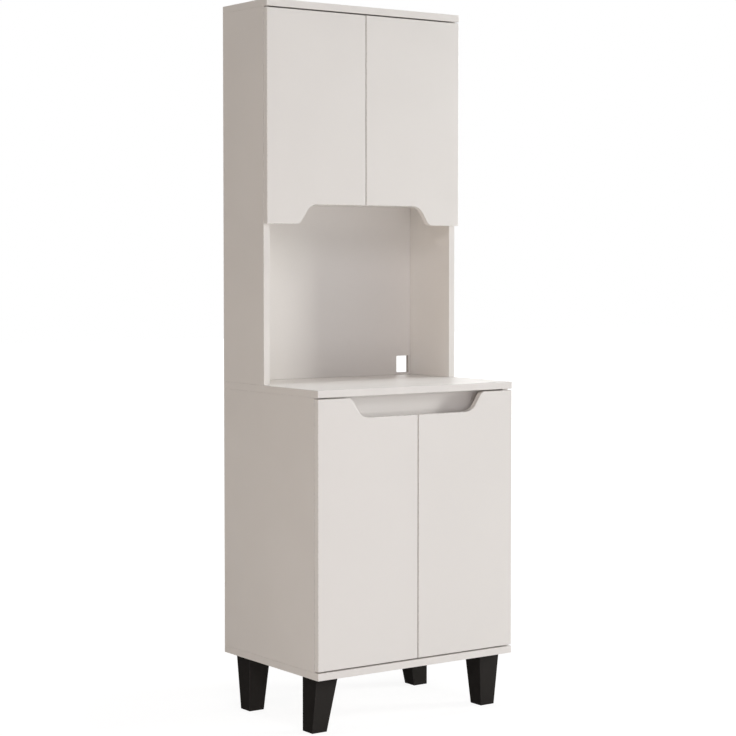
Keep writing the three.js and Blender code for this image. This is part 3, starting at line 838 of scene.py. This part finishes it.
def make_piece(name: str, shape: Shape, finish: Finish, body: str) -> bpy.types.Object:
    """Turns a mesh into a piece of the cabinet.

    Args:
        name: Name of the piece.
        shape: Its mesh, which is used up.
        finish: Its finish.
        body: Body of the frame that it rides on.

    Returns:
        The piece.
    """
    bmesh.ops.recalc_face_normals(shape, faces=shape.faces)
    mesh = bpy.data.meshes.new(name)
    shape.to_mesh(mesh)
    shape.free()
    mesh.shade_smooth()
    mesh.set_sharp_from_angle(angle=FITTING_CREASE)
    mesh.materials.append(finish.material())
    piece = bpy.data.objects.new(name, mesh)
    bpy.context.scene.collection.objects.link(piece)
    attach(piece, body)
    return piece


# ---- Sub-assemblies ----------------------------------------------------------------------


@dataclass
class SubAssembly:
    """Pieces of the cabinet that are built and dressed together."""

    pieces: list[bpy.types.Object] = field(default_factory=list, init=False)

    def build(self) -> None:
        """Builds and dresses the pieces."""
        raise NotImplementedError

    def dress(self, node: str, finish: Finish, arris_finish: Finish, arris: Arris) -> None:
        """Gives a CAD piece its finish and its rounded edges.

        Args:
            node: Name of the CAD piece.
            finish: Finish of its faces.
            arris_finish: Finish of its rounded edges.
            arris: How its edges are rounded.
        """
        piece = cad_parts[node]
        piece.data.materials[0] = finish.material()
        piece.data.materials.append(arris_finish.material())
        arris.soften(piece)
        self.pieces.append(piece)

    def add_caps(self, node: str, places: Iterable[Point], outwards: Point) -> None:
        """Adds the caps over one board's cam fittings.

        Args:
            node: The board.
            places: Middle of each cap on the board's face.
            outwards: Direction out of that face.
        """
        shape = bmesh.new()
        for place in places:
            CAP.add_to(shape, seat_at(place, outwards))
        self.pieces.append(make_piece(f"{node}_caps", shape, CAP_PLASTIC, CABINET_BODY))

    def report(self) -> None:
        """Reports each piece to the log."""
        for piece in self.pieces:
            LOG.info("%s: %s", type(self).__name__, piece.name)


@dataclass
class BaseCupboard(SubAssembly):
    """The deep base cupboard: its boards, rail, loose shelf and countertop."""

    boards: tuple[str, ...] = (
        "base_bottom_panel", "base_left_side", "base_right_side", "base_shelf", "countertop")
    cap_columns: Span = (-0.100, 0.130)  # y of the caps on the sides
    cap_inset: float = 0.034  # from the end of a side to its caps
    rail_cap_inset: float = 0.045  # from the side to the rail's cap

    def build(self) -> None:
        """Builds and dresses the pieces."""
        for node in self.boards:
            self.dress(node, MELAMINE, BAND_ARRIS, BOARD_ARRIS)
        self.dress("base_front_rail", MELAMINE_RAIL, BAND_ARRIS, BOARD_ARRIS)
        self.dress("base_back_panel", FACE_BOARD, FACE_BOARD, BACK_BOARD_ARRIS)
        low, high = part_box("base_left_side")
        levels = (low.z + self.cap_inset, high.z - self.cap_inset)
        for hand in Hand:
            x = hand.value * INNER_HALF_WIDTH
            places = [(x, y, z) for y in self.cap_columns for z in levels]
            self.add_caps(f"base_{hand.name.lower()}_side", places, (-hand.value, 0.0, 0.0))
        low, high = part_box("base_front_rail")
        reach = INNER_HALF_WIDTH - self.rail_cap_inset
        middle = (low.z + high.z) / 2.0
        self.add_caps("base_front_rail", [(x, high.y, middle) for x in (-reach, reach)], (0.0, 1.0, 0.0))


@dataclass
class Hutch(SubAssembly):
    """The shallower hutch: its sides, back, cupboard floor, loose shelf and top."""

    boards: tuple[str, ...] = (
        "hutch_left_side", "hutch_right_side", "cupboard_floor", "cupboard_shelf", "top_panel")
    cap_inset: float = 0.034  # from the end of a side, and from the floor's end, to the caps
    cap_margin: float = 0.045  # from a board's front and back edges to its caps
    bumper_from_middle: float = 0.030

    def build(self) -> None:
        """Builds and dresses the pieces."""
        for node in self.boards:
            self.dress(node, MELAMINE, BAND_ARRIS, BOARD_ARRIS)
        self.dress("hutch_back_panel", FACE_BOARD, FACE_BOARD, BACK_BOARD_ARRIS)
        low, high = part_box("cupboard_floor")
        columns = (low.y + self.cap_margin, high.y - self.cap_margin)
        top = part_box("hutch_left_side")[1].z - self.cap_inset
        for hand in Hand:
            places = [(hand.value * INNER_HALF_WIDTH, y, top) for y in columns]
            self.add_caps(f"hutch_{hand.name.lower()}_side", places, (-hand.value, 0.0, 0.0))
        reach = INNER_HALF_WIDTH - self.cap_inset
        places = [(x, y, high.z) for x in (-reach, reach) for y in columns]
        self.add_caps("cupboard_floor", places, (0.0, 0.0, 1.0))
        self.add_bumpers(low.y, (low.z + high.z) / 2.0)

    def add_bumpers(self, front: float, height: float) -> None:
        """Adds the clear bumpers that the upper doors close against.

        Args:
            front: y of the cupboard floor's front edge.
            height: z of the bumpers.
        """
        for hand in Hand:
            shape = bmesh.new()
            place = (hand.value * self.bumper_from_middle, front, height)
            BUMPER.add_to(shape, seat_at(place, (0.0, -1.0, 0.0)))
            name = f"upper_{hand.name.lower()}_door_bumper"
            self.pieces.append(make_piece(name, shape, CLEAR_RUBBER, CABINET_BODY))


@dataclass
class ShelfPins(SubAssembly):
    """The four steel pins under each loose shelf."""

    shelves: tuple[str, ...] = ("base_shelf", "cupboard_shelf")

    def build(self) -> None:
        """Builds and dresses the pieces."""
        for shelf in self.shelves:
            for column in ("front", "rear"):
                for hand in Hand:
                    node = f"{shelf}_pin_{column}_{hand.name.lower()}"
                    self.dress(node, ZINC_STEEL, ZINC_STEEL, PRESSED_ARRIS)


@dataclass
class Legs(SubAssembly):
    """The four tapered legs and their bolts."""

    corners: tuple[str, ...] = ("front_left", "front_right", "back_left", "back_right")

    def build(self) -> None:
        """Builds and dresses the pieces."""
        for corner in self.corners:
            self.dress(f"{corner}_leg", LEG_PLASTIC, LEG_ARRIS, MOULDED_ARRIS)
            self.dress(f"{corner}_leg_bolt", ZINC_STEEL, ZINC_STEEL, PRESSED_ARRIS)


@dataclass
class Door(SubAssembly):
    """One door with its two concealed hinges and their screws."""

    storey: str = "lower"
    hand: Hand = Hand.LEFT
    outer_half_width: float = 0.300
    cup_screw_x: float = 0.0313  # from the side's outer face to the screws of the cup
    cup_screw_y: float = 0.0170  # from the doors' front plane to the cup's flange
    cup_screw_spread: float = 0.0225  # above and below the hinge's middle
    cup_screw_turns: Span = (0.3, 1.1)  # of the two crosses, in radians
    plate_face_x: float = 0.0205  # from the side's outer face to the face of the plate
    plate_y: float = 0.054  # from the doors' front plane to the plate's middle
    plate_screw_spread: float = 0.016  # above and below the hinge's middle
    plate_screw_turns: Span = (0.7, 0.1)
    arm_face_x: float = 0.0395  # from the side's outer face to the face of the arm
    arm_screw_y: Span = (0.040, 0.069)  # from the doors' front plane
    arm_screw_turns: Span = (0.5, 0.9)
    wood_screw: ScrewHead = ScrewHead()
    arm_screw: ScrewHead = ScrewHead(radius=0.0030, height=0.0008, recess_depth=0.0007)

    @property
    def name(self) -> str:
        """Name of the door, which is also its node and its body."""
        return f"{self.storey}_{self.hand.name.lower()}_door"

    def build(self) -> None:
        """Builds and dresses the pieces."""
        self.dress(self.name, DOOR_FILM, DOOR_ARRIS, LEAF_ARRIS)
        for end in ("bottom", "top"):
            hinge = f"{self.name}_{end}_hinge"
            for part, arris in (("cup", PRESSED_ARRIS), ("link", LINK_ARRIS), ("arm", PRESSED_ARRIS)):
                self.dress(f"{hinge}_{part}", PLATED_STEEL, PLATED_STEEL, arris)
            low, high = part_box(f"{hinge}_arm")
            self.add_screws(hinge, (low.z + high.z) / 2.0)

    def add_screws(self, hinge: str, height: float) -> None:
        """Adds the screws of one hinge: two in the cup, two in the plate and two in the arm.

        Args:
            hinge: Name of the hinge.
            height: z of the hinge's middle.
        """
        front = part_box(self.name)[0].y
        out = self.hand.value
        cup_shape = bmesh.new()
        x = out * (self.outer_half_width - self.cup_screw_x)
        for sign, turn in zip((-1, 1), self.cup_screw_turns):
            place = (x, front + self.cup_screw_y, height + sign * self.cup_screw_spread)
            self.wood_screw.add_to(cup_shape, seat_at(place, (0.0, 1.0, 0.0), turn))
        arm_shape = bmesh.new()
        x = out * (self.outer_half_width - self.plate_face_x)
        for sign, turn in zip((-1, 1), self.plate_screw_turns):
            place = (x, front + self.plate_y, height + sign * self.plate_screw_spread)
            self.wood_screw.add_to(arm_shape, seat_at(place, (-out, 0.0, 0.0), turn))
        x = out * (self.outer_half_width - self.arm_face_x)
        for y, turn in zip(self.arm_screw_y, self.arm_screw_turns):
            self.arm_screw.add_to(arm_shape, seat_at((x, front + y, height), (-out, 0.0, 0.0), turn))
        for part, shape, body in (("cup", cup_shape, self.name), ("arm", arm_shape, CABINET_BODY)):
            self.pieces.append(make_piece(f"{hinge}_{part}_screws", shape, ZINC_STEEL, body))


# ---- Studio and camera -------------------------------------------------------------------


@dataclass(frozen=True)
class SoftLamp:
    """Soft rectangular lamp that points at the cabinet."""

    name: str
    level: float  # how bright it makes a white surface that faces it at the aim
    colour: Colour
    bearing: float  # degrees to the right of the doors' outward direction
    distance: float
    height: float
    size: Span
    aim: Point = (0.0, 0.0, 0.95)

    def build(self) -> None:
        """Makes the lamp."""
        bearing = math.radians(self.bearing)
        place = Vector((math.sin(bearing) * self.distance, -math.cos(bearing) * self.distance, self.height))
        towards = Vector(self.aim) - place
        data = bpy.data.lights.new(self.name, "AREA")
        data.shape = "RECTANGLE"
        data.size, data.size_y = self.size
        data.color = self.colour
        data.energy = self.level * (math.pi * towards.length) ** 2
        lamp = bpy.data.objects.new(self.name, data)
        bpy.context.scene.collection.objects.link(lamp)
        lamp.location = place
        lamp.rotation_euler = towards.to_track_quat("-Z", "Y").to_euler()
        lamp.visible_camera = False


@dataclass
class Studio:
    """Plain pale floor, white surroundings, even light and soft lamps round the cabinet."""

    floor_half_side: float = 20.0
    floor_colour: Colour = (0.80, 0.79, 0.78)
    floor_white: float = 1.2  # strength of the white that the camera sees mixed with the lit floor
    floor_share: float = 0.75  # share of that white near the cabinet; far off it is the whole
    shade_reach: Span = (0.7, 2.0)  # the white's share grows between these distances
    sky_level: float = 0.12
    sky_colour: Colour = (1.0, 0.96, 0.97)
    lamps: tuple[SoftLamp, ...] = (
        SoftLamp("right_lamp", level=0.57, colour=(0.98, 1.0, 0.98), bearing=66.7, distance=7.24,
                 height=1.90, size=(1.5, 1.7), aim=(-0.11, 0.20, -0.6)),
        SoftLamp("front_fill", level=0.152, colour=(1.0, 0.96, 1.0), bearing=-18.0, distance=2.3,
                 height=0.80, size=(1.0, 1.0), aim=(0.0, 0.0, 0.3)),
        SoftLamp("high_fill", level=0.107, colour=(1.0, 0.96, 1.0), bearing=-35.0, distance=7.0,
                 height=5.00, size=(2.2, 2.2), aim=(0.0, 0.0, -1.0)),
        SoftLamp("left_fill", level=0.108, colour=(1.0, 0.75, 0.46), bearing=-78.0, distance=4.0,
                 height=0.95, size=(2.0, 2.0)),
        SoftLamp("top_fill", level=0.49, colour=(0.95, 0.98, 1.0), bearing=0.0, distance=0.15,
                 height=5.00, size=(3.0, 1.0), aim=(0.0, 0.0, 1.0)),
        SoftLamp("rear_fill", level=0.10, colour=(1.0, 0.97, 0.94), bearing=150.0, distance=6.0,
                 height=2.0, size=(3.0, 3.0)),
    )

    def build(self) -> None:
        """Builds the floor, the world and the lamps."""
        bpy.context.scene.view_settings.view_transform = "Standard"
        self.make_floor()
        self.make_world()
        for lamp in self.lamps:
            lamp.build()

    def background_rays(self, graph: NodeGraph) -> Socket:
        """Adds the test for rays that show the background rather than light the object.

        Args:
            graph: Node tree of the floor or the world.

        Returns:
            A socket that is 1 for camera, glossy and transmission rays.
        """
        path = graph.add("ShaderNodeLightPath")
        joined = path.outputs["Is Camera Ray"]
        for name in ("Is Glossy Ray", "Is Transmission Ray"):
            joined = graph.math("MAXIMUM", joined, path.outputs[name])
        return joined

    def make_floor(self) -> None:
        """Makes the floor, which shows white with a faint shadow of the cabinet."""
        half = self.floor_half_side
        mesh = bpy.data.meshes.new("floor")
        corners = [(-half, -half, 0.0), (half, -half, 0.0), (half, half, 0.0), (-half, half, 0.0)]
        mesh.from_pydata(corners, [], [(0, 1, 2, 3)])
        floor = bpy.data.objects.new("floor", mesh)
        bpy.context.scene.collection.objects.link(floor)
        material = bpy.data.materials.new("studio_floor")
        material.use_nodes = True
        graph = NodeGraph(material.node_tree)
        matt = graph.add("ShaderNodeBsdfDiffuse")
        matt.inputs["Color"].default_value = (*self.floor_colour, 1.0)
        white = graph.add("ShaderNodeEmission")
        white.inputs["Strength"].default_value = self.floor_white
        distance = graph.add("ShaderNodeVectorMath", operation="LENGTH")
        graph.join(graph.add("ShaderNodeTexCoord").outputs["Object"], distance.inputs[0])
        near, far = self.shade_reach
        grown = graph.spread(distance.outputs["Value"], self.floor_share, 1.0, near, far, "LINEAR")
        share = graph.math("MULTIPLY", self.background_rays(graph), grown)
        graph.show_mixed("ShaderNodeOutputMaterial", share, matt.outputs["BSDF"], white.outputs["Emission"])
        mesh.materials.append(material)

    def make_world(self) -> None:
        """Makes the surroundings: even light for the object, white for the camera."""
        world = bpy.data.worlds.new("studio")
        bpy.context.scene.world = world
        world.use_nodes = True
        graph = NodeGraph(world.node_tree)
        light = graph.add("ShaderNodeBackground")
        light.inputs["Color"].default_value = (*self.sky_colour, 1.0)
        light.inputs["Strength"].default_value = self.sky_level
        white = graph.add("ShaderNodeBackground")
        white.inputs["Color"].default_value = (1.0, 1.0, 1.0, 1.0)
        graph.show_mixed("ShaderNodeOutputWorld", self.background_rays(graph),
                         light.outputs["Background"], white.outputs["Background"])


@dataclass
class PhotoCamera:
    """Camera that stands where the photograph was taken from."""

    place: Point = (-2.8811, -4.0776, 1.1579)
    heading: float = math.radians(35.25)  # from +Y towards +X
    dip: float = math.radians(2.361)  # below the horizon
    lens: float = 95.11  # mm
    sensor: float = 36.0  # width in mm
    shift_up: float = -0.04  # share of the sensor's width
    sees_to: float = 100.0

    def build(self) -> None:
        """Makes the camera and gives it to the scene."""
        data = bpy.data.cameras.new("photo_camera")
        data.lens = self.lens
        data.sensor_width = self.sensor
        data.shift_y = self.shift_up
        data.clip_end = self.sees_to
        camera = bpy.data.objects.new("photo_camera", data)
        bpy.context.scene.collection.objects.link(camera)
        camera.location = self.place
        camera.rotation_euler = (math.pi / 2.0 - self.dip, 0.0, -self.heading)
        bpy.context.scene.camera = camera


def main() -> None:
    """Builds the camera, the cabinet and the studio in order and reports each piece."""
    logging.basicConfig(level=logging.INFO, format="%(name)s: %(message)s")
    PhotoCamera().build()
    assemblies: list[SubAssembly] = [BaseCupboard(), Hutch(), ShelfPins(), Legs()]
    assemblies += [Door(storey, hand) for storey in ("lower", "upper") for hand in Hand]
    for assembly in assemblies:
        assembly.build()
        assembly.report()
    Studio().build()


if __name__ == "__main__":
    main()
